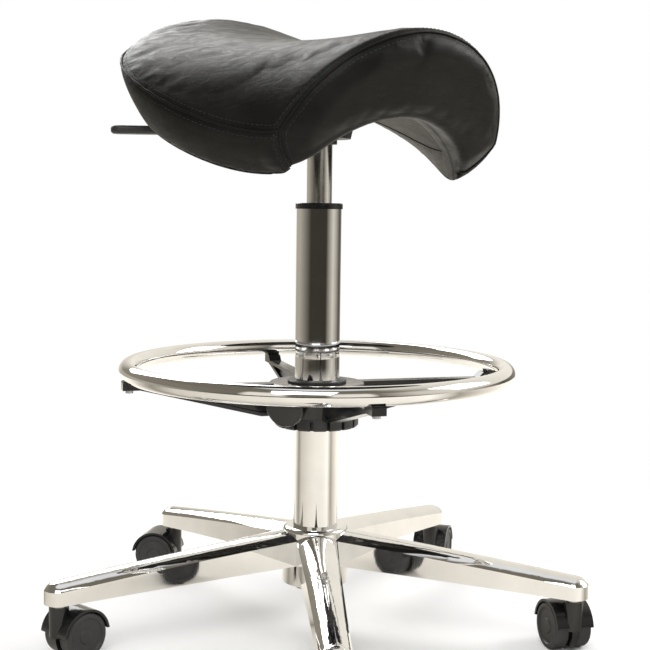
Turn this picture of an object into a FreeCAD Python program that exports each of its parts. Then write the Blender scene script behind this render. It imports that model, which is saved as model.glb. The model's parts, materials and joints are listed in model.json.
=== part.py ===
import FreeCAD, Part
import math
import os

from FreeCAD import Vector

# Saddle stool with a gas lift, a clamped foot ring and a five-star base on castors.
# Millimetres, +Z up, origin on the floor under the column. The rider faces -Y, right leg towards -X.

# Clearances
fit_gap = 0.1            # pieces that are pressed or clamped together
run_gap = 0.25           # curved faces that slide or turn on each other
seat_gap = 0.2           # flat faces of pieces that turn on each other
soft_gap = 0.4           # foam, cover and pan

# Castors
wheel_diameter = 50.0
wheel_width = 17.0
wheel_hub_radius = 8.5
wheel_rim = 5.0          # radial thickness of the tyre band
wheel_disc = 3.0         # thickness of the outer disc
wheel_spacing = 4.4      # from the castor's middle plane to the wheel's inner side
wheel_edge = 2.5         # rounding of the tread's outer edge
wheel_inner_edge = 1.5
wheel_set_in = 1.0       # rim behind the hub's inner face
wheel_dish = 1.5         # outer disc behind the rim
wheel_cap = 1.0          # how far the hub's cap stands out of the disc
axle_diameter = 8.0
trail_share = 0.42       # stem axis to axle axis, as a share of the wheel's diameter
castor_rise = 8.0        # top of the housing above the wheels
castor_web = 7.0
web_lift = 6.0           # floor to the web's lower edge
hood_gap = 1.4           # wheel tread to the inside of the hood
hood_wall = 2.8
hood_width = 43.0
stem_boss_radius = 10.5
stem_diameter = 11.0
stem_in_housing = 16.0
stem_in_leg = 20.0
stem_shoulder_radius = 8.0
stem_shoulder = 3.6
grip_ring_height = 3.0
grip_ring_wall = 0.7
grip_ring_split = 2.0
castor_turns = (40.0, 205.0, -70.0, 120.0, 15.0)   # rest heading of each castor, from its leg outwards

# Five-star base
leg_count = 5
leg_start = 90.0         # the first leg points to the rear
base_reach = 290.0       # column axis to castor stem
leg_wall = 3.0
leg_root_width = 46.0
leg_waist_width = 36.0
leg_tip_width = 31.0
leg_root_height = 37.0
leg_waist_height = 31.0
leg_tip_height = 24.0
leg_arch = 20.0          # how much higher the root's underside is than the tip's
leg_crown = 9.0          # rounding of the leg's back
base_hub_radius = 37.0
hub_over_legs = 3.0      # hub's upper face above the legs' roots
hub_under_legs = 4.0     # hub's lower face below the legs' tips
base_hub_round = 5.0

# Column and gas lift
column_od = 50.0
column_wall = 2.0
column_below_hub = 7.0   # tube's lower end below the base hub
column_length = 427.0
column_floor = 4.0
column_taper = 0.025     # radius lost per millimetre inside the base hub
bush_flange_radius = 26.3
bush_flange = 6.5
bush_flange_round = 1.5
bush_length = 95.0
tube_od = 28.0
tube_wall = 1.5
tube_exposed = 64.5      # bright pressure tube between bush and seat socket at rest
tube_lip = 2.0
drop_travel = 60.0       # how far the seat can sink from rest
rise_travel = 140.0      # how far it can rise
rod_diameter = 10.0
rod_end_diameter = 8.0
rod_end_length = 8.0     # stub below the column's floor
rod_clearance = 1.0      # rod to the holes that do not guide it
spigot_radius = 3.0      # upper end of the rod, inside the piston
piston_height = 12.0
piston_groove = 1.4
gland_height = 20.0
valve_height = 28.0
valve_pin_diameter = 5.0
valve_pin_reach = 10.0   # how far the release pin stands out of the tube
valve_pin_depth = 20.0
valve_pin_tip = 1.0
race_radius = 15.0
race_thickness = 2.0
ball_diameter = 4.0
ball_count = 8
ball_path = 10.0
cage_width = 6.0
cage_thickness = 1.6
bump_radius = 12.0
bump_length = 24.0
bump_waist_radius = 10.0
bump_chamfer = 1.0
clip_thickness = 1.5
clip_radius = 7.5
clip_groove = 0.8
clip_mouth = 5.2

# Foot ring, hub and clamp
ring_height = 300.0      # centre plane of the ring above the floor, at rest
ring_radius = 210.0      # centreline
ring_tube = 20.0
ring_wall = 1.5
arm_count = 4
arm_start = 66.0
arm_width = 15.0
arm_web = 7.0
arm_flange = 4.0
arm_drop = 15.0          # ring plane to the arms' upper edge
arm_tip_drop = 18.5      # ring plane to the underside of the tips
arm_slope_start = 66.0   # radius at which the lower edge begins to rise
arm_pad_length = 19.0
arm_overhang = 8.0       # tip beyond the ring's centreline
arm_pad_rise = 6.5       # tip pad above the upper edge, cradling the tube
arm_tip_round = 2.0
arm_pocket_start = 3.0   # hub rim to the pocket in the arm's side
arm_pocket_end = 22.0    # pocket to the tip pad
hub_height = 36.0
hub_rim_radius = 54.0
hub_skirt_radius = 47.0
hub_wall = 4.0
hub_plate = 6.0
hub_round = 3.0
sleeve_wall = 5.0
liner_wall = 3.25
liner_flange_radius = 33.0
liner_flange = 2.8
liner_slit = 3.0
liner_chamfer = 1.0
nut_height = 13.0
nut_notches = 16
nut_notch_width = 4.0
nut_notch_depth = 6.0
nut_chamfer = 2.0
ring_screw_diameter = 4.4
ring_screw_head = 8.5
ring_screw_head_height = 3.2
ring_screw_reach = 4.5   # into the ring's tube
knob_angle = 201.0       # midway between two arms
knob_drop = 33.0         # ring plane to the knob's axis
knob_radius = 23.0
knob_thickness = 11.0
knob_dome = 2.2
knob_neck_radius = 10.0
knob_neck = 2.0
knob_round = 2.5
boss_radius = 11.0
boss_reach = 58.0        # column axis to the face of the clamp boss
knob_gap = 2.5           # boss face to knob neck when clamped
screw_diameter = 8.0
insert_radius = 6.5
insert_length = 12.0
pad_thickness = 2.2

# Seat plate, lever
plate_height = 36.0      # socket's lower end to the plate's upper face
plate_width = 92.0
plate_length = 112.0
plate_thickness = 4.0
plate_corner = 12.0
cup_radius = 40.0
cup_foot_radius = 34.0
cup_depth = 26.0         # below the plate
cup_wall = 3.0
socket_radius = 19.0
socket_height = 23.0
bolt_across = 72.0
bolt_along = 92.0
bolt_diameter = 6.0
bolt_head = 11.0
bolt_head_height = 4.0
lever_angle = 145.0      # towards the rider's right, behind
lever_width = 12.0
lever_thickness = 5.0
lever_straight = 10.0    # level run outside the cup
lever_drop = 8.0         # level run to the handle's end
pivot_radius = 24.0
pivot_rise = 28.0        # above the socket's lower end
pivot_diameter = 6.0
pivot_boss = 6.0
lug_thickness = 4.0
lug_length = 14.0
lever_gap = 1.0          # lever to each lug
lever_reach = 184.0
grip_start = 166.0
grip_length = 62.0
grip_width = 24.0
grip_thickness = 9.0
grip_corner = 11.0
grip_round = 3.5
block_pocket_depth = 7.0
block_pocket_radius = 38.0
tee_flange_radius = 9.0
tee_flange = 1.6
tee_barrel_radius = 4.2

# Saddle cushion. Four values in a row hold at the front, at the two thirds and at the rear.
saddle_front = -102.0    # lower front corner of the flaps
saddle_rear = 140.0
mount_thickness = 16.7   # seat plate to the pan, on the column's axis
flap_low_at = -78.0
flap_turn = 75.0         # length over which the flaps' lower edge turns upwards
flap_climb = 0.64        # rise per millimetre that the lower edge tends to behind
front_lean = 30.0
rear_lean = -30.0
flap_half = (118.0, 166.0, 186.0, 120.0)   # middle plane to the flaps' lower edge
arch_rise = (69.0, 72.0, 43.0, 15.0)       # lower edge to the underside's middle line
pad_depth = (100.0, 60.0, 62.0, 100.0)     # underside's middle line to the top's
band_slope = (40.0, 32.0, 22.0, 15.0)      # degrees outwards from upright
band_height = 56.0       # sewn band from the flap's edge to the top panel
band_swell = 4.0
rim_round = 8.0          # rounding of the front and rear rims
cover_thickness = 1.5
pan_thickness = 12.0
pan_margin = 22.0        # flap's lower edge to the pan's edge
pan_inset = 0.07         # share of the saddle's length left free at each end
cover_turn = 20.0        # cover folded under the pan's edge
section_count = 7
search_steps = 40

# Heights and radii that follow from the sizes above
castor_trail = trail_share * wheel_diameter
castor_height = wheel_diameter + castor_rise
leg_low = castor_height + stem_shoulder + 2 * seat_gap
base_hub_top = leg_low + leg_arch + leg_root_height + hub_over_legs
base_hub_low = leg_low - hub_under_legs
column_foot = base_hub_low - column_below_hub
column_radius = column_od / 2
column_bore = column_radius - column_wall
column_top = column_foot + column_length
column_floor_top = column_foot + column_floor
bush_top = column_top + bush_flange
bush_low = column_top - bush_length
tube_radius = tube_od / 2
tube_bore = tube_radius - tube_wall
socket_low = bush_top + tube_exposed
socket_top = socket_low + socket_height
tube_top = socket_top
plate_top = socket_low + plate_height
plate_low = plate_top - plate_thickness
cup_low = plate_low - cup_depth
pivot_height = socket_low + pivot_rise
rod_radius = rod_diameter / 2
rod_end_radius = rod_end_diameter / 2
lower_race_top = column_floor_top + race_thickness
upper_race_low = lower_race_top + ball_diameter + 2 * fit_gap
upper_race_top = upper_race_low + race_thickness
bump_top = upper_race_top + fit_gap + bump_length
tube_low = bump_top + seat_gap + drop_travel
piston_low = tube_low + rise_travel + tube_lip + gland_height + 2 * seat_gap
piston_top = piston_low + piston_height
pin_tip = tube_top + valve_pin_reach
wheel_radius = wheel_diameter / 2
axle_radius = axle_diameter / 2
stem_radius = stem_diameter / 2
hub_top = ring_height - arm_drop
hub_low = hub_top - hub_height
liner_bore = column_radius + run_gap
liner_radius = liner_bore + liner_wall
sleeve_bore = liner_radius + run_gap
sleeve_radius = sleeve_bore + sleeve_wall
nut_top = hub_low - seat_gap
nut_low = nut_top - nut_height
liner_top = hub_top + seat_gap + liner_flange
knob_height = ring_height - knob_drop
screw_radius = screw_diameter / 2

origin = Vector(0, 0, 0)
up = Vector(0, 0, 1)


def outline(points):
    # Closed wire in the XZ plane. A point of four values is reached by an arc through its last two.
    edges = []
    last = points[-1]
    for point in points:
        start = Vector(last[0], 0, last[1])
        end = Vector(point[0], 0, point[1])
        if len(point) == 4:
            edges.append(Part.Arc(start, Vector(point[2], 0, point[3]), end).toShape())
        else:
            edges.append(Part.makeLine(start, end))
        last = point
    return Part.Wire(edges)


def dome(radius, low, rise):
    # Outline point on the axis, reached by the arc of a round cap that starts at the radius
    sphere = (radius ** 2 + rise ** 2) / (2 * rise)
    half = math.asin(radius / sphere) / 2
    return (0, low + rise, sphere * math.sin(half), low + rise - sphere * (1 - math.cos(half)))


def quarter(x, z, radius, start, end):
    # Outline point at the end of a rounding about a centre, between two angles in degrees
    middle = math.radians((start + end) / 2)
    last = math.radians(end)
    return (x + radius * math.cos(last), z + radius * math.sin(last),
            x + radius * math.cos(middle), z + radius * math.sin(middle))


def turned(points):
    return Part.Face(outline(points)).revolve(origin, up, 360)


def panel(points, width):
    face = Part.Face(outline(points)).translated(Vector(0, -width / 2, 0))
    return face.extrude(Vector(0, width, 0))


def drum(radius, low, high, x=0.0, y=0.0):
    return Part.makeCylinder(radius, high - low, Vector(x, y, low))


def ring(outer, inner, low, high):
    return drum(outer, low, high).cut(drum(inner, low, high))


def block(x_size, y_size, low, high, x=0.0, y=0.0):
    corner = Vector(x - x_size / 2, y - y_size / 2, low)
    return Part.makeBox(x_size, y_size, high - low, corner)


def about(shape, degrees):
    return shape.rotated(origin, up, degrees)


def along_x(shape, height):
    # Lays a piece turned about Z along +X, with its axis at the given height
    return shape.rotated(origin, Vector(0, 1, 0), 90).translated(Vector(0, 0, height))


def spaced(shape, count, start):
    return [about(shape, start + 360.0 / count * number) for number in range(count)]


def save(node, *solids):
    shape = solids[0] if len(solids) == 1 else Part.makeCompound(list(solids))
    shape.exportStep(f"parts/{node}.step")


# Five-star base: pressed legs, open below, welded to a tapered hub

def leg_section(x, width, low, high, crown):
    half = width / 2
    shoulder = high - crown
    low_left = Vector(x, -half, low)
    low_right = Vector(x, half, low)
    left = Vector(x, -half, shoulder)
    right = Vector(x, half, shoulder)
    back = Part.Arc(left, Vector(x, 0, high), right).toShape()
    sides = [Part.makeLine(low_left, left), back, Part.makeLine(right, low_right)]
    return Part.Wire(sides + [Part.makeLine(low_right, low_left)])


def leg_loft(wall):
    # The outer skin with no wall, or the hollow under it
    stations = (
        (base_hub_radius - leg_crown, leg_root_width, leg_low + leg_arch, leg_root_height),
        ((base_hub_radius + base_reach) / 2, leg_waist_width, leg_low + leg_arch / 2, leg_waist_height),
        (base_reach, leg_tip_width, leg_low, leg_tip_height),
    )
    sections = []
    for x, width, low, height in stations:
        floor = low - wall
        sections.append(leg_section(x, width - 2 * wall, floor, low + height - wall, leg_crown))
    return Part.makeLoft(sections, True, False)


def star_base():
    leg = leg_loft(0).cut(leg_loft(leg_wall))
    tip_top = leg_low + leg_tip_height
    tip_radius = leg_tip_width / 2
    tip = turned([
        (0, leg_low),
        (tip_radius, leg_low),
        (tip_radius, tip_top - leg_crown),
        dome(tip_radius, tip_top - leg_crown, leg_crown),
    ]).translated(Vector(base_reach, 0, 0))
    hub = turned([
        (0, base_hub_low),
        (base_hub_radius, base_hub_low),
        (base_hub_radius, base_hub_top - base_hub_round),
        quarter(base_hub_radius - base_hub_round, base_hub_top - base_hub_round, base_hub_round, 0, 90),
        (0, base_hub_top),
    ])
    legs = []
    for piece in (leg, tip):
        legs.extend(spaced(piece, leg_count, leg_start))
    star = hub.multiFuse(legs)
    low_radius = column_radius - column_taper * (base_hub_top - base_hub_low) + fit_gap
    taper = Part.makeCone(low_radius, column_radius + fit_gap, base_hub_top - base_hub_low,
                          Vector(0, 0, base_hub_low))
    socket = drum(stem_radius + run_gap, leg_low, leg_low + stem_in_leg, base_reach)
    return star.cut(taper).cut(Part.makeCompound(spaced(socket, leg_count, leg_start))).removeSplitter()


# Castors, drawn with the stem on the Z axis and the axle trailing along +X

def on_axle(shape):
    # Stands a piece turned about Z on the axle, its Z axis along +Y
    spun = shape.rotated(origin, Vector(1, 0, 0), -90)
    return spun.translated(Vector(castor_trail, 0, wheel_radius))


def castor_housing():
    hood_inner = wheel_radius + hood_gap
    hood_outer = hood_inner + hood_wall
    hood = on_axle(ring(hood_outer, hood_inner, -hood_width / 2, hood_width / 2))
    web = on_axle(drum(hood_inner + hood_wall / 2, -castor_web / 2, castor_web / 2))
    boss = drum(stem_boss_radius, wheel_radius + hood_gap, castor_height)
    hood_end = wheel_radius + axle_radius
    below_hood = block(2 * wheel_diameter, 2 * hood_width, -wheel_radius, hood_end, castor_trail)
    below_web = block(2 * wheel_diameter, 2 * castor_web, -wheel_radius, web_lift, castor_trail)
    wheel_room = on_axle(drum(wheel_radius + hood_gap, wheel_spacing - seat_gap, hood_width))
    other_room = wheel_room.mirror(origin, Vector(0, 1, 0))
    stem_hole = drum(stem_radius + run_gap, castor_height - stem_in_housing, castor_height)
    axle_hole = on_axle(drum(axle_radius + fit_gap, -castor_web, castor_web))
    body = hood.cut(below_hood).multiFuse([web.cut(below_web), boss])
    return body.cut(wheel_room).cut(other_room).cut(stem_hole).cut(axle_hole).removeSplitter()


def castor_wheel():
    # Turned about Z, inner side at zero, with a blind bore
    inner_rim = wheel_radius - wheel_rim
    disc_high = wheel_width - wheel_dish
    disc_low = disc_high - wheel_disc
    cap = disc_high + wheel_cap
    inner_round = wheel_radius - wheel_inner_edge
    outer_round = wheel_radius - wheel_edge
    bore = axle_radius + run_gap
    return turned([
        (bore, 0),
        (wheel_hub_radius, 0),
        (wheel_hub_radius, disc_low),
        (inner_rim, disc_low),
        (inner_rim, wheel_set_in),
        (inner_round, wheel_set_in),
        quarter(inner_round, wheel_set_in + wheel_inner_edge, wheel_inner_edge, -90, 0),
        (wheel_radius, wheel_width - wheel_edge),
        quarter(outer_round, wheel_width - wheel_edge, wheel_edge, 0, 90),
        (inner_rim, wheel_width),
        (inner_rim - wheel_dish, disc_high),
        (wheel_hub_radius, disc_high),
        (wheel_hub_radius - wheel_cap, cap),
        (0, cap),
        (0, wheel_width - wheel_disc),
        (bore, wheel_width - wheel_disc),
    ])


def castor_stem():
    low = castor_height - stem_in_housing + seat_gap
    shoulder_low = castor_height + seat_gap
    high = leg_low + stem_in_leg - seat_gap
    groove_low = (leg_low + high) / 2 - grip_ring_height / 2
    groove = ring(stem_radius, stem_radius - grip_ring_wall, groove_low, groove_low + grip_ring_height)
    shoulder = drum(stem_shoulder_radius, shoulder_low, shoulder_low + stem_shoulder)
    return drum(stem_radius, low, high).fuse(shoulder).cut(groove).removeSplitter()


def grip_ring():
    high = leg_low + stem_in_leg - seat_gap
    low = (leg_low + high) / 2 - grip_ring_height / 2 + fit_gap
    outer = stem_radius + fit_gap
    band = ring(outer, stem_radius - grip_ring_wall + fit_gap, low, low + grip_ring_height - 2 * fit_gap)
    split = block(stem_diameter, grip_ring_split, low, low + grip_ring_height, stem_radius)
    return band.cut(split)


def make_castors():
    housing = castor_housing()
    wheel = castor_wheel()
    axle_half = wheel_spacing + wheel_width - wheel_disc - seat_gap
    axle = on_axle(drum(axle_radius, -axle_half, axle_half))
    left = on_axle(wheel.translated(Vector(0, 0, wheel_spacing)))
    right = left.mirror(origin, Vector(0, 1, 0))
    stems = []
    rings = []
    for number in range(leg_count):
        leg_angle = leg_start + 360.0 / leg_count * number
        spot = about(Part.Vertex(base_reach, 0, 0), leg_angle).Point

        def put(shape):
            return about(shape, leg_angle + castor_turns[number]).translated(spot)

        name = number + 1
        save(f"castor_{name}_housing", put(housing))
        save(f"castor_{name}_axle", put(axle))
        save(f"castor_{name}_wheel_left", put(left))
        save(f"castor_{name}_wheel_right", put(right))
        stems.append(put(castor_stem()))
        rings.append(put(grip_ring()))
    save("castor_stems", *stems)
    save("stem_grip_rings", *rings)


# Column with the fixed and the turning parts of the gas lift

def column_tube():
    foot_radius = column_radius - column_taper * (base_hub_top - column_foot)
    foot_bore = column_bore - column_taper * (base_hub_top - column_floor_top)
    rod_hole = rod_end_radius + rod_clearance
    return turned([
        (column_radius, column_top),
        (column_radius, base_hub_top),
        (foot_radius, column_foot),
        (rod_hole, column_foot),
        (rod_hole, column_floor_top),
        (foot_bore, column_floor_top),
        (column_bore, base_hub_top),
        (column_bore, column_top),
    ])


def guide_bush():
    bore = tube_radius + run_gap
    edge = bush_flange_radius - bush_flange_round
    return turned([
        (bore, bush_low),
        (column_bore - fit_gap, bush_low),
        (column_bore - fit_gap, column_top),
        (bush_flange_radius, column_top),
        (bush_flange_radius, bush_top - bush_flange_round),
        quarter(edge, bush_top - bush_flange_round, bush_flange_round, 0, 90),
        (bore + bush_flange_round, bush_top),
        (bore, bush_top - bush_flange_round),
    ])


def thrust_cage():
    middle = lower_race_top + fit_gap + ball_diameter / 2
    inner = ball_path - cage_width / 2
    cage = ring(inner + cage_width, inner, middle - cage_thickness / 2, middle + cage_thickness / 2)
    hole = drum(ball_diameter / 2 + fit_gap, middle - cage_thickness, middle + cage_thickness, ball_path)
    return cage.cut(Part.makeCompound(spaced(hole, ball_count, 0)))


def thrust_balls():
    middle = lower_race_top + fit_gap + ball_diameter / 2
    return spaced(Part.makeSphere(ball_diameter / 2, Vector(ball_path, 0, middle)), ball_count, 0)


def piston_rod():
    rod_low = column_foot - rod_end_length
    clip_top = column_foot - seat_gap
    groove_low = clip_top - clip_thickness - fit_gap
    return turned([
        (0, rod_low),
        (rod_end_radius, rod_low),
        (rod_end_radius, groove_low),
        (rod_end_radius - clip_groove, groove_low),
        (rod_end_radius - clip_groove, clip_top),
        (rod_end_radius, clip_top),
        (rod_end_radius, upper_race_top),
        (rod_radius, upper_race_top),
        (rod_radius, piston_low),
        (spigot_radius, piston_low),
        (spigot_radius, piston_top),
        (0, piston_top),
    ])


def piston():
    radius = tube_bore - run_gap
    inner = spigot_radius + fit_gap
    groove_low = piston_low + piston_height / 3
    groove_high = piston_top - piston_height / 3
    return turned([
        (inner, piston_low),
        (radius, piston_low),
        (radius, groove_low),
        (radius - piston_groove, groove_low),
        (radius - piston_groove, groove_high),
        (radius, groove_high),
        (radius, piston_top),
        (inner, piston_top),
    ])


def rod_clip():
    top = column_foot - seat_gap - fit_gap / 2
    inner = rod_end_radius - clip_groove + fit_gap
    clip = ring(clip_radius, inner, top - clip_thickness, top)
    mouth = block(clip_radius, clip_mouth, top - clip_thickness, top, clip_radius / 2)
    return clip.cut(mouth)


def bump_stop():
    low = upper_race_top + fit_gap
    inner = rod_radius + fit_gap
    return turned([
        (inner, low),
        (bump_radius, low),
        (bump_radius, low + bump_length / 3),
        (bump_radius, bump_top - bump_length / 3, bump_waist_radius, low + bump_length / 2),
        (bump_radius, bump_top - bump_chamfer),
        (bump_radius - bump_chamfer, bump_top),
        (inner, bump_top),
    ])


# Moving tube of the gas lift with its valve

def socket_taper(height):
    return tube_radius - column_taper * (height - socket_low)


def pressure_tube():
    return turned([
        (tube_radius, tube_low),
        (tube_radius, socket_low),
        (socket_taper(tube_top), tube_top),
        (tube_bore - column_taper * socket_height, tube_top),
        (tube_bore, tube_top - valve_height),
        (tube_bore, tube_low + tube_lip),
        (rod_radius + rod_clearance, tube_low + tube_lip),
        (rod_radius + rod_clearance, tube_low),
    ])


def valve_body():
    top_radius = tube_bore - column_taper * socket_height - fit_gap
    pin_bore = valve_pin_diameter / 2 + fit_gap
    return turned([
        (pin_bore, tube_top - valve_height),
        (top_radius, tube_top - valve_height),
        (top_radius, tube_top),
        (pin_bore, tube_top),
    ])


def release_pin():
    radius = valve_pin_diameter / 2
    return turned([
        (0, tube_top - valve_pin_depth),
        (radius, tube_top - valve_pin_depth),
        (radius, pin_tip - valve_pin_tip),
        dome(radius, pin_tip - valve_pin_tip, valve_pin_tip),
    ])


def rod_gland():
    low = tube_low + tube_lip
    return ring(tube_bore - fit_gap, rod_radius + run_gap, low, low + gland_height)


# Foot ring on its hub, clamped to the column

def ring_tube_solid(radius):
    return Part.makeTorus(ring_radius, radius, Vector(0, 0, ring_height))


def ring_screw_hole(clearance):
    radius = ring_screw_diameter / 2 + clearance
    return drum(radius, ring_height - arm_tip_drop - ring_screw_head_height, ring_height, ring_radius)


def foot_ring():
    tube = ring_tube_solid(ring_tube / 2).cut(ring_tube_solid(ring_tube / 2 - ring_wall))
    holes = spaced(ring_screw_hole(fit_gap), arm_count, arm_start)
    return tube.cut(Part.makeCompound(holes))


def hub_arm():
    tip_low = ring_height - arm_tip_drop
    tip = ring_radius + arm_overhang
    pad = tip - arm_pad_length
    pad_top = hub_top + arm_pad_rise
    slope = (tip_low - hub_low) / (pad - arm_slope_start)
    root = (sleeve_bore + sleeve_radius) / 2
    arm = panel([
        (root, hub_low),
        (arm_slope_start, hub_low),
        (pad, tip_low),
        (tip, tip_low),
        (tip, pad_top - arm_tip_round),
        quarter(tip - arm_tip_round, pad_top - arm_tip_round, arm_tip_round, 0, 90),
        (pad, pad_top),
        (pad - arm_pad_rise, hub_top),
        (root, hub_top),
    ], arm_width)
    pocket_end = pad - arm_pocket_end
    pocket_start = hub_rim_radius + arm_pocket_start
    pocket_low = hub_low + arm_flange

    def lower_edge(x):
        return pocket_low + slope * (x - arm_slope_start)

    pocket = panel([
        (pocket_start, pocket_low),
        (arm_slope_start, pocket_low),
        (pocket_end, lower_edge(pocket_end)),
        (pocket_end, hub_top - arm_flange),
        (pocket_start, hub_top - arm_flange),
    ], arm_width)
    side = (arm_width + arm_web) / 2
    arm = arm.cut(pocket.translated(Vector(0, side, 0))).cut(pocket.translated(Vector(0, -side, 0)))
    return arm.cut(ring_screw_hole(fit_gap))


def ring_hub():
    shell = turned([
        (sleeve_bore, hub_low),
        (sleeve_radius, hub_low),
        (sleeve_radius, hub_top - hub_plate),
        (hub_rim_radius - hub_wall, hub_top - hub_plate),
        (hub_skirt_radius - hub_wall, hub_low),
        (hub_skirt_radius, hub_low),
        (hub_rim_radius, hub_top - hub_round),
        quarter(hub_rim_radius - hub_round, hub_top - hub_round, hub_round, 0, 90),
        (sleeve_bore, hub_top),
    ])
    boss = along_x(drum(boss_radius, sleeve_bore, boss_reach), knob_height)
    body = shell.multiFuse(spaced(hub_arm(), arm_count, arm_start) + [about(boss, knob_angle)])
    screw_hole = along_x(drum(screw_radius + run_gap, column_radius, boss_reach), knob_height)
    insert_hole = along_x(drum(insert_radius + fit_gap, boss_reach - insert_length, boss_reach), knob_height)
    for hole in (screw_hole, insert_hole):
        body = body.cut(about(hole, knob_angle))
    cradle = ring_tube_solid(ring_tube / 2 + fit_gap)
    return body.cut(cradle).cut(drum(sleeve_bore, nut_low, liner_top)).removeSplitter()


def ring_screws():
    head_top = ring_height - arm_tip_drop
    reach = ring_height - ring_tube / 2 + ring_screw_reach
    head = drum(ring_screw_head / 2, head_top - ring_screw_head_height, head_top, ring_radius)
    shank = drum(ring_screw_diameter / 2, head_top - ring_screw_head_height / 2, reach, ring_radius)
    return spaced(head.fuse(shank).removeSplitter(), arm_count, arm_start)


def ring_liner():
    flange_low = hub_top + seat_gap
    liner = turned([
        (liner_bore, nut_low),
        (liner_radius, nut_low),
        (liner_radius, flange_low),
        (liner_flange_radius, flange_low),
        (liner_flange_radius, liner_top - liner_chamfer),
        (liner_flange_radius - liner_chamfer, liner_top),
        (liner_bore, liner_top),
    ])
    slit_middle = (liner_flange_radius + column_radius) / 2
    slit = block(liner_flange_radius, liner_slit, nut_low, liner_top, slit_middle)
    return liner.cut(about(slit, knob_angle + 180))


def liner_nut():
    nut = turned([
        (liner_radius + fit_gap, nut_low),
        (hub_skirt_radius - nut_chamfer, nut_low),
        (hub_skirt_radius, nut_low + nut_chamfer),
        (hub_skirt_radius, nut_top),
        (liner_radius + fit_gap, nut_top),
    ])
    notch = block(2 * nut_notch_depth, nut_notch_width, nut_low, nut_top - nut_chamfer, hub_skirt_radius)
    return nut.cut(Part.makeCompound(spaced(notch, nut_notches, knob_angle)))


def clamp_knob():
    back = boss_reach + knob_gap
    plate = back + knob_neck
    front = plate + knob_thickness
    bore = screw_radius + fit_gap
    face = knob_radius - knob_round
    knob = turned([
        (bore, back),
        (knob_neck_radius, back),
        (knob_neck_radius, plate),
        (face, plate),
        quarter(face, plate + knob_round, knob_round, -90, 0),
        (knob_radius, front - knob_round),
        quarter(face, front - knob_round, knob_round, 0, 90),
        dome(face, front, knob_dome),
        (0, front - knob_thickness / 2),
        (bore, front - knob_thickness / 2),
    ])
    return about(along_x(knob, knob_height), knob_angle)


def clamp_screw():
    start = liner_radius + 2 * seat_gap + pad_thickness
    end = boss_reach + knob_gap + knob_neck + knob_thickness / 2 - fit_gap
    return about(along_x(drum(screw_radius, start, end), knob_height), knob_angle)


def clamp_pad():
    start = liner_radius + seat_gap
    return about(along_x(drum(screw_radius, start, start + pad_thickness), knob_height), knob_angle)


def screw_insert():
    sleeve = ring(insert_radius, screw_radius + run_gap, boss_reach - insert_length, boss_reach)
    return about(along_x(sleeve, knob_height), knob_angle)


# Seat plate with the tapered socket and the release lever

def bolt_spots():
    return [(x * bolt_across / 2, y * bolt_along / 2) for x in (-1, 1) for y in (-1, 1)]


def lever_path_height(x):
    # Height of the middle of the lever's bar, by distance from the column axis
    press = pin_tip + seat_gap + lever_thickness / 2
    exit_height = plate_low - cup_depth / 2 + lever_gap
    if x <= valve_pin_diameter:
        return press
    share = (x - valve_pin_diameter) / (cup_foot_radius - valve_pin_diameter)
    return press + (exit_height - press) * min(1.0, share)


def seat_plate():
    flange = block(plate_width, plate_length, plate_low, plate_top)
    corners = [edge for edge in flange.Edges if edge.BoundBox.ZLength > fit_gap]
    flange = flange.makeFillet(plate_corner, corners).cut(drum(cup_radius - cup_wall, plate_low, plate_top))
    inside = (tube_radius + socket_radius) / 2
    cup = turned([
        (inside, cup_low),
        (cup_foot_radius, cup_low),
        (cup_radius, plate_low),
        (cup_radius, plate_top),
        (cup_radius - cup_wall, plate_top),
        (cup_radius - cup_wall, plate_low),
        (cup_foot_radius - cup_wall, cup_low + cup_wall),
        (inside, cup_low + cup_wall),
    ])
    socket = drum(socket_radius, socket_low, socket_top)
    lug_offset = lever_width / 2 + lever_gap + lug_thickness / 2
    lugs = []
    for side in (-1, 1):
        lug = block(lug_length, lug_thickness, cup_low + cup_wall / 2, pivot_height + pivot_boss,
                    pivot_radius, side * lug_offset)
        lugs.append(about(lug, lever_angle))
    body = flange.multiFuse([cup, socket] + lugs)
    bore = Part.makeCone(tube_radius + fit_gap, socket_taper(socket_top) + fit_gap, socket_height,
                         Vector(0, 0, socket_low))
    pin_hole = lever_pin_solid(pivot_diameter / 2 + fit_gap)
    exit_low = lever_path_height(cup_radius) - lever_thickness
    slot = block(cup_radius, lever_width + 2 * lever_gap, exit_low, plate_low, cup_radius + lug_length / 2)
    for tool in [bore, pin_hole, about(slot, lever_angle)]:
        body = body.cut(tool)
    for x, y in bolt_spots():
        body = body.cut(drum(bolt_diameter / 2 + fit_gap, plate_low, plate_top, x, y))
    return body.removeSplitter()


def lever_pin_solid(radius):
    half = lever_width / 2 + lever_gap + lug_thickness
    start = Vector(pivot_radius, -half, pivot_height)
    return about(Part.makeCylinder(radius, 2 * half, start, Vector(0, 1, 0)), lever_angle)


def lever_bar():
    half = lever_thickness / 2
    press = lever_path_height(0)
    level = lever_path_height(cup_radius)
    end = level - lever_drop
    start_bend = valve_pin_diameter
    end_bend = cup_foot_radius
    knee = cup_radius + lever_straight
    bar = panel([
        (-start_bend, press - half),
        (start_bend, press - half),
        (end_bend, level - half),
        (knee, level - half),
        (grip_start - knee, end - half),
        (lever_reach, end - half),
        (lever_reach, end + half),
        (grip_start - knee, end + half),
        (knee, level + half),
        (end_bend, level + half),
        (start_bend, press + half),
        (-start_bend, press + half),
    ], lever_width)
    boss_start = Vector(pivot_radius, -lever_width / 2, pivot_height)
    boss = Part.makeCylinder(pivot_boss, lever_width, boss_start, Vector(0, 1, 0))
    lever = about(bar.fuse(boss).removeSplitter(), lever_angle)
    return lever.cut(lever_pin_solid(pivot_diameter / 2 + run_gap))


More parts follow.
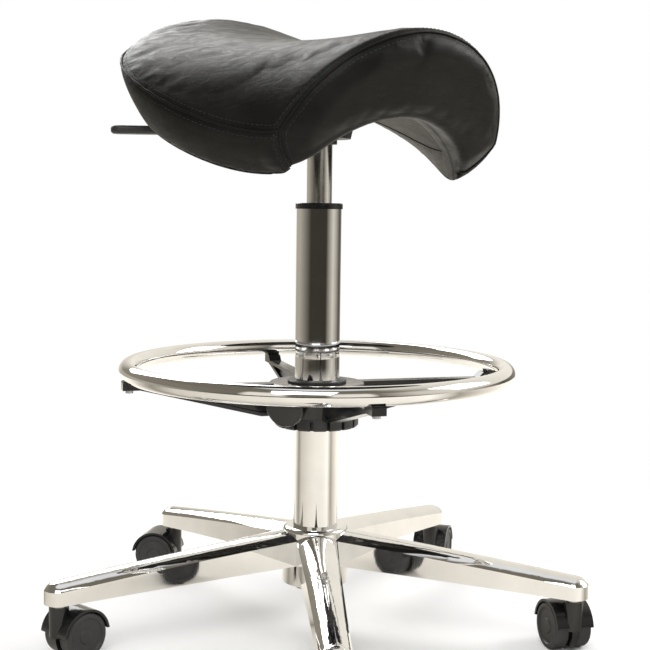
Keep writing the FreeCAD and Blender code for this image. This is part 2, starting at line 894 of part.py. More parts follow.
def lever_grip():
    middle = lever_path_height(cup_radius) - lever_drop
    low = middle - grip_thickness / 2
    paddle = block(grip_length, grip_width, low, low + grip_thickness, grip_start + grip_length / 2)
    corners = [edge for edge in paddle.Edges if edge.BoundBox.ZLength > fit_gap]
    paddle = paddle.makeFillet(grip_corner, corners)
    rims = [edge for edge in paddle.Edges if edge.BoundBox.ZLength < fit_gap]
    paddle = paddle.makeFillet(grip_round, rims)
    slot = block(lever_reach - grip_start + 2 * fit_gap, lever_width + 2 * fit_gap,
                 middle - lever_thickness / 2 - fit_gap, middle + lever_thickness / 2 + fit_gap,
                 (lever_reach + grip_start) / 2)
    return about(paddle.cut(slot), lever_angle)


# Saddle: sections that fan from a forward-leaning front to a backward-leaning rear

def through(values, share):
    # Smooth curve through evenly spaced values from front to rear
    spots = [number / (len(values) - 1) for number in range(len(values))]
    total = 0.0
    for spot, value in zip(spots, values):
        for other in spots:
            if other != spot:
                value *= (share - other) / (spot - other)
        total += value
    return total


def saddle_point(share, x, height):
    # From a section's own plane to the saddle, with zero height at the flaps' lowest point
    y = saddle_front + (saddle_rear - saddle_front) * share
    bend = math.sqrt(1 + ((y - flap_low_at) / flap_turn) ** 2) - 1
    z = flap_climb * flap_turn * bend
    lean = math.radians(front_lean + (rear_lean - front_lean) * share)
    return Vector(x, y - height * math.sin(lean), z + height * math.cos(lean))


def arch(share):
    # Radius of the underside and the height of its centre
    half = through(flap_half, share)
    rise = through(arch_rise, share)
    radius = (half ** 2 + rise ** 2) / (2 * rise)
    return radius, rise - radius


def arc_edge(share, start, middle, end):
    points = [saddle_point(share, x, height) for x, height in (start, middle, end)]
    return Part.Arc(*points).toShape()


def cushion_section(share, inset):
    half = through(flap_half, share)
    rise = through(arch_rise, share)
    crown = rise + through(pad_depth, share) - inset
    radius, centre = arch(share)
    slope = math.radians(through(band_slope, share))
    out_x = math.sin(slope)
    out_y = math.cos(slope)
    edge_x = half - inset * out_y
    edge_y = inset * out_x
    # Where the inset band meets the inset underside
    along = edge_x * out_x + (edge_y - centre) * out_y
    reach = edge_x ** 2 + (edge_y - centre) ** 2 - (radius + inset) ** 2
    step = -along + math.sqrt(along ** 2 - reach)
    tip = (edge_x + step * out_x, edge_y + step * out_y)
    top_step = band_height - inset
    shoulder = (edge_x + top_step * out_x, edge_y + top_step * out_y)
    flank = ((tip[0] + shoulder[0]) / 2 + band_swell * out_y,
             (tip[1] + shoulder[1]) / 2 - band_swell * out_x)

    def mirrored(point):
        return (-point[0], point[1])

    return Part.Wire([
        arc_edge(share, mirrored(shoulder), (0, crown), shoulder),
        arc_edge(share, shoulder, flank, tip),
        arc_edge(share, tip, (0, rise + inset), mirrored(tip)),
        arc_edge(share, mirrored(tip), mirrored(flank), mirrored(shoulder)),
    ])


def crescent_section(share, low, high, margin):
    # Layer between two offsets from the underside, stopping short of the flap's edge
    radius, centre = arch(share)
    spread = math.asin(through(flap_half, share) / radius) - margin / radius

    def at(angle, offset):
        return ((radius + offset) * math.sin(angle), centre + (radius + offset) * math.cos(angle))

    def line(start, end):
        return Part.makeLine(saddle_point(share, *start), saddle_point(share, *end))

    return Part.Wire([
        arc_edge(share, at(-spread, low), at(0, low), at(spread, low)),
        line(at(spread, low), at(spread, high)),
        arc_edge(share, at(spread, high), at(0, high), at(-spread, high)),
        line(at(-spread, high), at(-spread, low)),
    ])


def shares(first, last):
    return [first + (last - first) * number / (section_count - 1) for number in range(section_count)]


def cushion(inset):
    trim = inset / (saddle_rear - saddle_front)
    body = Part.makeLoft([cushion_section(share, inset) for share in shares(trim, 1 - trim)], True, False)
    ends = [face for face in body.Faces if face.Surface.TypeId == "Part::GeomPlane"]
    return body.makeFillet(rim_round - inset, [edge for face in ends for edge in face.Edges])


def crescent(low, high, margin, end_share):
    sections = [crescent_section(share, low, high, margin) for share in shares(end_share, 1 - end_share)]
    return Part.makeLoft(sections, True, False)


def pan_height(x, y, offset):
    # Height of the layer at an offset above the underside, over a spot of the saddle
    low, high = 0.0, 1.0
    for _ in range(search_steps):
        share = (low + high) / 2
        radius, centre = arch(share)
        spot = saddle_point(share, x, centre + math.sqrt((radius + offset) ** 2 - x ** 2))
        if spot.y < y:
            low = share
        else:
            high = share
    return spot.z


def make_seat():
    pan_low = cover_thickness + soft_gap
    pan_high = pan_low + pan_thickness
    length = saddle_rear - saddle_front
    lift = plate_top + mount_thickness - pan_height(0, 0, pan_low)
    raised = Vector(0, 0, lift)
    pan = crescent(pan_low, pan_high, pan_margin, pan_inset).translated(raised)
    room_inset = pan_inset - soft_gap / length
    pan_room = crescent(-pan_thickness, pan_high + soft_gap, pan_margin - soft_gap, room_inset)
    opening = crescent(-pan_thickness, pan_low, pan_margin + cover_turn, pan_inset + cover_turn / length)
    cover = cushion(0).cut(cushion(cover_thickness)).cut(opening).translated(raised)
    foam = cushion(pan_low).cut(pan_room).translated(raised)
    over_pan = crescent(pan_low - fit_gap, pan_high + pan_thickness, pan_margin, pan_inset).translated(raised)
    mount = block(plate_width, plate_length, plate_top, plate_top + 4 * pan_thickness).cut(over_pan)
    mount = max(mount.Solids, key=lambda solid: -solid.BoundBox.ZMin)
    pocket = drum(block_pocket_radius, plate_top, plate_top + block_pocket_depth)
    mount = mount.cut(pocket)
    bolts = []
    tees = []
    for x, y in bolt_spots():
        seat = lift + pan_height(x, y, pan_high) - 2 * tee_flange
        top = seat + tee_flange
        hole = drum(tee_barrel_radius + fit_gap, plate_top, seat, x, y)
        spot_face = drum(tee_flange_radius + fit_gap, seat, seat + pan_thickness, x, y)
        pan = pan.cut(hole).cut(spot_face)
        foam = foam.cut(spot_face)
        barrel = drum(tee_barrel_radius, seat - pan_thickness / 2, seat, x, y)
        tee = barrel.fuse(drum(tee_flange_radius, seat, top, x, y))
        bore = drum(bolt_diameter / 2 + fit_gap, seat - pan_thickness, top, x, y)
        tees.append(tee.cut(bore).removeSplitter())
        mount = mount.cut(hole)
        head = drum(bolt_head / 2, plate_low - bolt_head_height, plate_low, x, y)
        shank = drum(bolt_diameter / 2, plate_low - bolt_head_height / 2, top, x, y)
        bolts.append(head.fuse(shank).removeSplitter())
    save("seat_cover", cover)
    save("seat_foam", foam)
    save("seat_pan", pan)
    save("mount_block", mount)
    save("seat_bolts", *bolts)
    save("tee_nuts", *tees)


def make_lift():
    save("column_tube", column_tube())
    save("guide_bush", guide_bush())
    save("lower_race", ring(race_radius, rod_end_radius + rod_clearance, column_floor_top, lower_race_top))
    save("upper_race", ring(race_radius, rod_end_radius + fit_gap, upper_race_low, upper_race_top))
    save("thrust_cage", thrust_cage())
    save("thrust_balls", *thrust_balls())
    save("piston_rod", piston_rod())
    save("piston", piston())
    save("rod_clip", rod_clip())
    save("bump_stop", bump_stop())
    save("pressure_tube", pressure_tube())
    save("rod_gland", rod_gland())
    save("valve_body", valve_body())
    save("release_pin", release_pin())


def make_foot_ring():
    save("foot_ring", foot_ring())
    save("ring_hub", ring_hub())
    save("ring_screws", *ring_screws())
    save("ring_liner", ring_liner())
    save("liner_nut", liner_nut())
    save("clamp_knob", clamp_knob())
    save("clamp_screw", clamp_screw())
    save("clamp_pad", clamp_pad())
    save("screw_insert", screw_insert())


def make_mechanism():
    save("seat_plate", seat_plate())
    save("lever_pin", lever_pin_solid(pivot_diameter / 2))
    save("lever_bar", lever_bar())
    save("lever_grip", lever_grip())


os.makedirs("parts", exist_ok=True)
save("star_base", star_base())
make_castors()
make_lift()
make_foot_ring()
make_mechanism()
make_seat()
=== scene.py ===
import json
import math

import bpy
from mathutils import Matrix, Vector
from mathutils.bvhtree import BVHTree
from mathutils.kdtree import KDTree


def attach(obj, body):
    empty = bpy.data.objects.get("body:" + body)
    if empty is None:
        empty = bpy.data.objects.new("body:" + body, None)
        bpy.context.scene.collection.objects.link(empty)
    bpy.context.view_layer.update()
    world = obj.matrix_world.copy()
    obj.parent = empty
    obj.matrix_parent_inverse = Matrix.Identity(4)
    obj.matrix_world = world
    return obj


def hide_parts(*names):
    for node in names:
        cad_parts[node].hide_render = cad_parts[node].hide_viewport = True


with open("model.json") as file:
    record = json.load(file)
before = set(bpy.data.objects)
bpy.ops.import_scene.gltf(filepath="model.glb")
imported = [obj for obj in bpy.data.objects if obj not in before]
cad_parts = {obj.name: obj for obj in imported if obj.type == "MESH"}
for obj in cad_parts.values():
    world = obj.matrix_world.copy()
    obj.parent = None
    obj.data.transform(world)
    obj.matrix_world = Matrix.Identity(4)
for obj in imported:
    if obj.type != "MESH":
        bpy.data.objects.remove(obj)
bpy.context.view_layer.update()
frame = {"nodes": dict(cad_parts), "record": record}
bpy.ops.object.select_all(action="DESELECT")
print("stool frame loaded,", len(frame["nodes"]), "nodes")


# Small helpers for node trees and for working on one object at a time

mergeDistance = 0.00001  # a CAD node's loose triangles are joined at their corners


def newMaterial(name):
    material = bpy.data.materials.new(name)
    material.use_nodes = True
    tree = material.node_tree
    place = tree.nodes.new("ShaderNodeTexCoord").outputs["Object"]
    return material, tree, tree.nodes["Principled BSDF"], place


def addNode(tree, kind, inputs=None, **settings):
    node = tree.nodes.new(kind)
    for key, value in settings.items():
        setattr(node, key, value)
    for key, value in (inputs or {}).items():
        if isinstance(value, bpy.types.NodeSocket):
            tree.links.new(value, node.inputs[key])
        else:
            node.inputs[key].default_value = value
    return node


def noiseAt(tree, place, scale, detail=3.0, rough=0.5, distortion=0.0):
    inputs = {"Vector": place, "Scale": scale, "Detail": detail, "Roughness": rough, "Distortion": distortion}
    return addNode(tree, "ShaderNodeTexNoise", inputs).outputs["Fac"]


def stretched(tree, place, scale, turn=(0.0, 0.0, 0.0)):
    return addNode(tree, "ShaderNodeMapping", {"Vector": place, "Scale": scale, "Rotation": turn}).outputs["Vector"]


def ranged(tree, value, low, high, start=0.3, end=0.7):
    inputs = {"Value": value, "From Min": start, "From Max": end, "To Min": low, "To Max": high}
    return addNode(tree, "ShaderNodeMapRange", inputs).outputs["Result"]


def tinted(tree, value, dark, light, start=0.35, end=0.65):
    ramp = addNode(tree, "ShaderNodeValToRGB", {"Fac": value})
    ramp.color_ramp.elements[0].position = start
    ramp.color_ramp.elements[1].position = end
    ramp.color_ramp.elements[0].color = (*dark, 1.0)
    ramp.color_ramp.elements[1].color = (*light, 1.0)
    return ramp.outputs["Color"]


def bumped(tree, height, strength, distance, before=None):
    inputs = {"Height": height, "Strength": strength, "Distance": distance}
    if before:
        inputs["Normal"] = before
    return addNode(tree, "ShaderNodeBump", inputs).outputs["Normal"]


def pick(piece):
    bpy.ops.object.select_all(action="DESELECT")
    piece.select_set(True)
    bpy.context.view_layer.objects.active = piece


def copyOf(nodeName, name):
    source = frame["nodes"][nodeName]
    piece = bpy.data.objects.new(name, source.data.copy())
    bpy.context.collection.objects.link(piece)
    piece.data.transform(source.matrix_world)
    pick(piece)
    bpy.ops.object.mode_set(mode="EDIT")
    bpy.ops.mesh.select_all(action="SELECT")
    bpy.ops.mesh.remove_doubles(threshold=mergeDistance)
    bpy.ops.object.mode_set(mode="OBJECT")
    return piece


def applyModifier(piece, modifier):
    pick(piece)
    bpy.ops.object.modifier_apply(modifier=modifier.name)


def smoothed(piece, times):
    smooth = piece.modifiers.new("smooth", "SMOOTH")
    smooth.factor = 0.5
    smooth.iterations = times
    applyModifier(piece, smooth)


def meshTree(piece):
    vertices = [piece.matrix_world @ v.co for v in piece.data.vertices]
    return BVHTree.FromPolygons(vertices, [list(p.vertices) for p in piece.data.polygons])


def pointTree(points):
    tree = KDTree(len(points))
    for number, point in enumerate(points):
        tree.insert(point, number)
    tree.balance()
    return tree


def finished(piece, body, material):
    piece.data.materials.clear()
    piece.data.materials.append(material)
    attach(piece, body)


# Finishes

leatherLook = {
    "dark": (0.0034, 0.0034, 0.0031), "light": (0.0080, 0.0078, 0.0071), "rough": (0.36, 0.52), "shine": 0.17,
    "grain": 620.0, "pores": 1500.0, "creases": (26.0, 44.0, 90.0),
}


def blackLeather():
    material, tree, shader, place = newMaterial("blackLeather")
    cells = addNode(tree, "ShaderNodeTexVoronoi", {"Vector": place, "Scale": leatherLook["grain"]},
                    feature="DISTANCE_TO_EDGE").outputs["Distance"]
    pores = noiseAt(tree, place, leatherLook["pores"], 2.0)
    creases = noiseAt(tree, stretched(tree, place, leatherLook["creases"]), 1.0, 4.0, 0.55, 1.3)
    cloud = noiseAt(tree, place, 16.0, 4.0)
    tree.links.new(tinted(tree, cloud, leatherLook["dark"], leatherLook["light"]), shader.inputs["Base Color"])
    tree.links.new(ranged(tree, creases, *leatherLook["rough"]), shader.inputs["Roughness"])
    soft = bumped(tree, creases, 0.16, 0.0030)
    grain = bumped(tree, ranged(tree, cells, 0.0, 1.0, 0.0, 0.25), 0.22, 0.0004, soft)
    tree.links.new(bumped(tree, pores, 0.10, 0.0003, grain), shader.inputs["Normal"])
    shader.inputs["Specular IOR Level"].default_value = leatherLook["shine"]
    return material


threadLook = {"dark": (0.006, 0.006, 0.0055), "light": (0.016, 0.0155, 0.0145), "rough": 0.6, "twistAndGrooveShade": 900.0}


def seamThread():
    material, tree, shader, place = newMaterial("seamThread")
    twistAndGrooveShade = addNode(tree, "ShaderNodeTexWave", {"Vector": place, "Scale": threadLook["twistAndGrooveShade"], "Distortion": 1.0},
                    bands_direction="DIAGONAL").outputs["Fac"]
    # Darker where the twist's relief is low: painted shade in the thread's grooves, over its own near-black
    tree.links.new(tinted(tree, twistAndGrooveShade, threadLook["dark"], threadLook["light"], 0.2, 0.8),
                   shader.inputs["Base Color"])
    tree.links.new(bumped(tree, twistAndGrooveShade, 0.4, 0.0003), shader.inputs["Normal"])
    shader.inputs["Roughness"].default_value = threadLook["rough"]
    return material


chromeLook = {"dark": (0.74, 0.74, 0.745), "light": (0.80, 0.80, 0.80), "rough": (0.02, 0.06)}


def polishedChrome():
    material, tree, shader, place = newMaterial("polishedChrome")
    haze = noiseAt(tree, place, 24.0, 5.0, 0.6)
    scratch = noiseAt(tree, stretched(tree, place, (900.0, 900.0, 40.0)), 1.0, 2.0)
    tree.links.new(tinted(tree, haze, chromeLook["dark"], chromeLook["light"]), shader.inputs["Base Color"])
    tree.links.new(ranged(tree, haze, *chromeLook["rough"]), shader.inputs["Roughness"])
    tree.links.new(bumped(tree, scratch, 0.02, 0.0002), shader.inputs["Normal"])
    shader.inputs["Metallic"].default_value = 1.0
    return material


def groundSteel(name, dark, light, rough, streak, depth=0.08):
    material, tree, shader, place = newMaterial(name)
    rings = noiseAt(tree, stretched(tree, place, streak), 1.0, 3.0)
    cloud = noiseAt(tree, place, 40.0, 3.0)
    tree.links.new(tinted(tree, rings, dark, light), shader.inputs["Base Color"])
    tree.links.new(ranged(tree, cloud, rough * 0.75, rough * 1.25), shader.inputs["Roughness"])
    tree.links.new(bumped(tree, rings, depth, 0.0002), shader.inputs["Normal"])
    shader.inputs["Metallic"].default_value = 1.0
    return material


def mouldedPlastic(name, dark, light, rough, texture, strength):
    material, tree, shader, place = newMaterial(name)
    skin = noiseAt(tree, place, texture, 3.0)
    flow = noiseAt(tree, place, 22.0, 3.0, 0.5, 0.6)
    tree.links.new(tinted(tree, flow, dark, light), shader.inputs["Base Color"])
    tree.links.new(ranged(tree, flow, rough * 0.8, rough * 1.2), shader.inputs["Roughness"])
    tree.links.new(bumped(tree, skin, strength, 0.0003), shader.inputs["Normal"])
    shader.inputs["Specular IOR Level"].default_value = 0.5
    return material


powderLook = {"dark": (0.014, 0.014, 0.015), "light": (0.028, 0.028, 0.029), "rough": (0.38, 0.55), "peel": 420.0}


def powderCoat():
    material, tree, shader, place = newMaterial("powderCoat")
    peel = noiseAt(tree, place, powderLook["peel"], 2.0)
    wear = noiseAt(tree, place, 30.0, 5.0)
    tree.links.new(tinted(tree, wear, powderLook["dark"], powderLook["light"]), shader.inputs["Base Color"])
    tree.links.new(ranged(tree, wear, *powderLook["rough"]), shader.inputs["Roughness"])
    tree.links.new(bumped(tree, peel, 0.18, 0.0006), shader.inputs["Normal"])
    return material


plywoodLook = {
    "dark": (0.012, 0.010, 0.008), "light": (0.034, 0.029, 0.024), "rough": (0.55, 0.75),
    "figure": (60.0, 5.0, 12.0), "fibre": (900.0, 40.0, 200.0),
}


def stainedPlywood():
    material, tree, shader, place = newMaterial("stainedPlywood")
    figure = noiseAt(tree, stretched(tree, place, plywoodLook["figure"]), 1.0, 5.0, 0.6, 1.2)
    fibre = noiseAt(tree, stretched(tree, place, plywoodLook["fibre"]), 1.0, 2.0)
    tree.links.new(tinted(tree, figure, plywoodLook["dark"], plywoodLook["light"]), shader.inputs["Base Color"])
    tree.links.new(ranged(tree, fibre, *plywoodLook["rough"]), shader.inputs["Roughness"])
    tree.links.new(bumped(tree, fibre, 0.2, 0.0005), shader.inputs["Normal"])
    return material


rubberLook = {"dark": (0.02, 0.02, 0.02), "light": (0.045, 0.044, 0.042), "rough": (0.65, 0.85), "skin": 700.0}


def mouldedRubber():
    material, tree, shader, place = newMaterial("mouldedRubber")
    skin = noiseAt(tree, place, rubberLook["skin"], 3.0)
    bloom = noiseAt(tree, place, 35.0, 4.0)
    tree.links.new(tinted(tree, bloom, rubberLook["dark"], rubberLook["light"]), shader.inputs["Base Color"])
    tree.links.new(ranged(tree, bloom, *rubberLook["rough"]), shader.inputs["Roughness"])
    tree.links.new(bumped(tree, skin, 0.2, 0.0004), shader.inputs["Normal"])
    return material


leather = blackLeather()
thread = seamThread()
finishes = {
    "chrome": polishedChrome(),
    "bright_steel": groundSteel("groundSteel", (0.71, 0.71, 0.70), (0.77, 0.77, 0.76), 0.18, (30.0, 30.0, 2600.0),
                                depth=0.03),
    "zinc_steel": groundSteel("zincSteel", (0.50, 0.50, 0.53), (0.66, 0.66, 0.68), 0.30, (300.0, 300.0, 900.0)),
    "light_alloy": groundSteel("turnedAlloy", (0.62, 0.62, 0.63), (0.75, 0.75, 0.76), 0.28, (60.0, 60.0, 1800.0)),
    "brass": groundSteel("turnedBrass", (0.58, 0.42, 0.16), (0.72, 0.55, 0.25), 0.25, (60.0, 60.0, 1800.0)),
    "black_paint": powderCoat(),
    "gloss_black": mouldedPlastic("glossBlack", (0.007, 0.007, 0.0075), (0.014, 0.014, 0.015), 0.16, 300.0, 0.03),
    "matt_black": mouldedPlastic("mattBlack", (0.014, 0.014, 0.014), (0.026, 0.026, 0.026), 0.45, 900.0, 0.12),
    "tread": mouldedPlastic("castorTread", (0.020, 0.020, 0.021), (0.038, 0.038, 0.040), 0.50, 700.0, 0.10),
    "plywood": stainedPlywood(),
    "rubber": mouldedRubber(),
    "leather": leather,
    "foam": leather,
}
for part in frame["record"]["subparts"]:
    node = frame["nodes"][part["node"]]
    node.data.materials.clear()
    node.data.materials.append(finishes[part["material_slot"]])
bush = frame["nodes"]["guide_bush"].data.materials
bush.clear()
bush.append(finishes["gloss_black"])


# Saddle cushion: the foam's form, swollen by pressure under its cover, drawn in along the sewn lines

saddle = {
    "front": -0.102, "rear": 0.140, "low": 0.512, "lowAt": -0.078, "turn": 0.075, "climb": 0.64,
    "lean": (30.0, -30.0),
    "half": (0.118, 0.166, 0.186, 0.120), "rise": (0.069, 0.072, 0.043, 0.015),
    "depth": (0.100, 0.060, 0.062, 0.100), "slope": (40.0, 32.0, 22.0, 15.0),
    "band": 0.056, "swell": 0.004, "lineSteps": 60, "flapSteps": 14,
}
cushionMake = {
    "voxel": 0.0044, "skinOver": 0.0014, "panHold": 0.007,
    "pressure": 4.0, "frames": 20, "mass": 0.3, "stiffness": 18.0, "bending": 1.5, "mostMove": 0.005,
    "drawOut": 0.016, "drawShare": 0.9, "drawFacing": 0.2,
    "frontBulge": 0.009, "rearBulge": 0.005, "bulgeDepth": 0.022, "bulgeRise": 0.030,
    "underHem": 0.0012, "hemReach": 0.018, "hemFacing": 0.35,
    "rollWidth": 0.016, "rollStart": 0.2, "rollRise": 0.0080,
    "edgeReach": 0.014, "edgeFull": 0.005, "edgeFade": 6,
    "seamPitch": 0.003, "seamReach": 0.014, "seamDepth": 0.0024, "seamWidth": 0.0055,
    "weltPitch": 0.006, "weltRadius": 0.0013, "weltSink": 0.0006,
    "pipingPitch": 0.005, "pipingRadius": 0.0012, "pipingSink": 0.0007, "pipingRise": 0.9,
    "pipingTuck": 0.004,
    "stitchPitch": 0.0052, "stitchLength": 0.0036, "stitchRadius": 0.00042, "stitchFlat": 0.8, "stitchOff": 0.0062,
    "stitchProud": 0.15,
}


def through(values, share):
    spots = [k / (len(values) - 1) for k in range(len(values))]
    total = 0.0
    for spot, value in zip(spots, values):
        for other in spots:
            if other != spot:
                value *= (share - other) / (spot - other)
        total += value
    return total


def leanAt(share):
    return math.radians(saddle["lean"][0] + (saddle["lean"][1] - saddle["lean"][0]) * share)


def saddlePoint(share, x, height):
    y = saddle["front"] + (saddle["rear"] - saddle["front"]) * share
    bend = math.sqrt(1 + ((y - saddle["lowAt"]) / saddle["turn"]) ** 2) - 1
    z = saddle["low"] + saddle["climb"] * saddle["turn"] * bend
    lean = leanAt(share)
    return Vector((x, y - height * math.sin(lean), z + height * math.cos(lean)))


def arcPoint(start, middle, end, share):
    # a point on the circle through three points of a section's plane
    ax, ay, bx, by, cx, cy = *start, *middle, *end
    d = 2 * (ax * (by - cy) + bx * (cy - ay) + cx * (ay - by))
    ux = ((ax**2 + ay**2) * (by - cy) + (bx**2 + by**2) * (cy - ay) + (cx**2 + cy**2) * (ay - by)) / d
    uy = ((ax**2 + ay**2) * (cx - bx) + (bx**2 + by**2) * (ax - cx) + (cx**2 + cy**2) * (bx - ax)) / d
    first = math.atan2(ay - uy, ax - ux)
    half = math.remainder(math.atan2(by - uy, bx - ux) - first, 2 * math.pi)
    rest = math.remainder(math.atan2(cy - uy, cx - ux) - math.atan2(by - uy, bx - ux), 2 * math.pi)
    angle = first + (half + rest) * share
    radius = math.hypot(ax - ux, ay - uy)
    return ux + radius * math.cos(angle), uy + radius * math.sin(angle)


def sectionCorners(share):
    half = through(saddle["half"], share)
    slope = math.radians(through(saddle["slope"], share))
    out = (math.sin(slope), math.cos(slope))
    shoulder = (half + saddle["band"] * out[0], saddle["band"] * out[1])
    flank = (half + saddle["band"] * out[0] / 2 + saddle["swell"] * out[1],
             saddle["band"] * out[1] / 2 - saddle["swell"] * out[0])
    crown = through(saddle["rise"], share) + through(saddle["depth"], share)
    return (half, 0.0), flank, shoulder, crown


def shoulderLine(side):
    line = []
    for k in range(saddle["lineSteps"] + 1):
        share = k / saddle["lineSteps"]
        tip, flank, shoulder, crown = sectionCorners(share)
        line.append(saddlePoint(share, side * shoulder[0], shoulder[1]))
    return line


def rimLine(share):
    # up one flap, over the top and down the other
    tip, flank, shoulder, crown = sectionCorners(share)
    flapSteps, lineSteps = saddle["flapSteps"], saddle["lineSteps"]
    flap = [arcPoint(tip, flank, shoulder, k / flapSteps) for k in range(flapSteps)]
    middle, far = (0.0, crown), (-shoulder[0], shoulder[1])
    top = [arcPoint(shoulder, middle, far, k / lineSteps) for k in range(lineSteps + 1)]
    outline = flap + top + [(-x, h) for x, h in reversed(flap)]
    return [saddlePoint(share, x, h) for x, h in outline]


def even(line, pitch):
    # points at one pitch along a line
    spots = [line[0]]
    left = pitch
    for a, b in zip(line, line[1:]):
        length = (b - a).length
        at = left
        while at <= length:
            spots.append(a.lerp(b, at / length))
            at += pitch
        left = at - length
    return spots


def eased(share):
    share = min(1.0, max(0.0, share))
    return share * share * (3 - 2 * share)


panTree = meshTree(frame["nodes"]["seat_pan"])
seamLines = [shoulderLine(1), shoulderLine(-1), rimLine(0.0), rimLine(1.0)]


# Underside of the cover: a frame of leather from the flaps' lower edges to where it is stapled under the pan
hemMake = {
    "ends": 0.058, "opening": 0.1526, "width": 0.042, "wall": 0.001, "proud": 0.0003, "tuck": 0.0025, "press": 0.0008,
    "bandSteps": 6, "middleSteps": 24, "endSteps": 6, "longSteps": 48, "tuckRows": 2, "smoothAngle": 35,
    "edgeStart": 0.02, "edgeSteps": 160, "pastEnds": 0.05, "surfaceSteps": 80, "surfaceAcross": 40,
}


def undersideArc(share):
    half, rise = through(saddle["half"], share), through(saddle["rise"], share)
    return half, rise, (half**2 + rise**2) / (2 * rise)


def undersidePoint(share, angle, offset):
    half, rise, radius = undersideArc(share)
    across, height = (radius + offset) * math.sin(angle), rise - radius + (radius + offset) * math.cos(angle)
    return saddlePoint(share, across, height)


def undersideSpread(share, inward):
    # angle of the flap's lower edge on the underside's arc, or of a line some way in from it
    half, rise, radius = undersideArc(share)
    return math.asin(half / radius) - inward / radius


def stepped(start, end, steps):
    return [start + (end - start) * k / steps for k in range(steps)]


def undersideFrame():
    ends, opening = hemMake["ends"], hemMake["opening"]
    rows = stepped(ends, opening, hemMake["endSteps"]) + stepped(opening, 1 - opening, hemMake["longSteps"])
    rows += stepped(1 - opening, 1 - ends, hemMake["endSteps"]) + [1 - ends]
    band, middle = hemMake["bandSteps"], hemMake["middleSteps"]
    across, along = 2 * band + middle, len(rows) - 1
    bpy.ops.object.select_all(action="DESELECT")
    bpy.ops.mesh.primitive_grid_add(x_subdivisions=across, y_subdivisions=along, size=1.0)
    piece = bpy.context.active_object
    piece.name = "coverHem"
    for vertex in piece.data.vertices:
        column, row = round((vertex.co.x + 0.5) * across), round((vertex.co.y + 0.5) * along)
        share, fromEnd = rows[row], min(row, along - row)
        fromSide = min(column, across - column)
        inner = undersideSpread(share, hemMake["width"])
        if fromSide <= band:
            angle = undersideSpread(share, hemMake["width"] * fromSide / band)
            angle = -angle if column < across / 2 else angle
        else:
            angle = inner * (2 * (column - band) / middle - 1)
        offset = -hemMake["proud"]
        if fromEnd < hemMake["tuckRows"]:
            offset = hemMake["tuck"] * (1 - fromEnd / hemMake["tuckRows"])
        elif fromSide >= band and hemMake["endSteps"] <= fromEnd:
            offset = hemMake["press"]
        vertex.co = undersidePoint(share, angle, offset)
    bpy.ops.object.mode_set(mode="EDIT")
    bpy.ops.mesh.select_mode(type="VERT")
    bpy.ops.mesh.select_all(action="DESELECT")
    bpy.ops.object.mode_set(mode="OBJECT")
    for number, vertex in enumerate(piece.data.vertices):
        row, column = divmod(number, across + 1)
        vertex.select = band < column < across - band and hemMake["endSteps"] < row < along - hemMake["endSteps"]
    bpy.ops.object.mode_set(mode="EDIT")
    bpy.ops.mesh.delete(type="VERT")
    bpy.ops.mesh.select_all(action="SELECT")
    if piece.data.polygons[0].normal.z > 0:
        bpy.ops.mesh.flip_normals()
    bpy.ops.object.mode_set(mode="OBJECT")
    return piece


def lowerEdge(side):
    shares = stepped(hemMake["edgeStart"], 1 - hemMake["edgeStart"], hemMake["edgeSteps"])
    return [undersidePoint(share, side * undersideSpread(share, 0.0), 0.0) for share in shares]


def gridTree(rows):
    points = [point for row in rows for point in row]
    wide = len(rows[0])
    faces = []
    for number in range(len(rows) - 1):
        for column in range(wide - 1):
            corner = number * wide + column
            faces.append((corner, corner + 1, corner + wide + 1, corner + wide))
    return BVHTree.FromPolygons(points, faces)


def flankRows(side):
    rows = []
    flapSteps = saddle["flapSteps"]
    for share in stepped(0.0, 1.0, saddle["lineSteps"]) + [1.0]:
        tip, flank, shoulder, crown = sectionCorners(share)
        spots = [arcPoint(tip, flank, shoulder, k / flapSteps) for k in range(flapSteps + 1)]
        rows.append([saddlePoint(share, side * x, h) for x, h in spots])
    return rows


def undersideRows():
    rows = []
    first, last = -hemMake["pastEnds"], 1 + hemMake["pastEnds"]
    for share in stepped(first, last, hemMake["surfaceSteps"]) + [last]:
        spread = undersideSpread(share, 0.0)
        angles = stepped(-spread, spread, hemMake["surfaceAcross"]) + [spread]
        rows.append([undersidePoint(share, angle, 0.0) for angle in angles])
    return rows


undersideTree = gridTree(undersideRows())
flankTrees = {1: gridTree(flankRows(1)), -1: gridTree(flankRows(-1))}
hem = undersideFrame()
print("underside laid,", len(hem.data.polygons), "faces")

cushion = copyOf("seat_foam", "saddleCushion")
voxels = cushion.modifiers.new("voxels", "REMESH")
voxels.mode = "VOXEL"
voxels.voxel_size = cushionMake["voxel"]
applyModifier(cushion, voxels)
held = cushion.vertex_groups.new(name="held")
outward = [v.normal.copy() for v in cushion.data.vertices]
for vertex, normal in zip(cushion.data.vertices, outward):
    if panTree.find_nearest(vertex.co)[3] < cushionMake["panHold"]:
        held.add([vertex.index], 1.0, "ADD")
    else:
        vertex.co += normal * cushionMake["skinOver"]  # the cover's own thickness
startPlaces = [v.co.copy() for v in cushion.data.vertices]
cloth = cushion.modifiers.new("pressure", "CLOTH")
cloth.settings.quality = 5
cloth.settings.mass = cushionMake["mass"]
cloth.settings.tension_stiffness = cushionMake["stiffness"]
cloth.settings.compression_stiffness = cushionMake["stiffness"]
cloth.settings.bending_stiffness = cushionMake["bending"]
cloth.settings.use_pressure = True
cloth.settings.uniform_pressure_force = cushionMake["pressure"]
cloth.settings.vertex_group_mass = "held"
cloth.settings.effector_weights.gravity = 0.0
cloth.point_cache.frame_start = 1
cloth.point_cache.frame_end = cushionMake["frames"]
for number in range(1, cushionMake["frames"] + 1):
    bpy.context.scene.frame_set(number)
applyModifier(cushion, cloth)
for vertex, start in zip(cushion.data.vertices, startPlaces):
    move = vertex.co - start
    if move.length > cushionMake["mostMove"]:
        vertex.co = start + move * (cushionMake["mostMove"] / move.length)
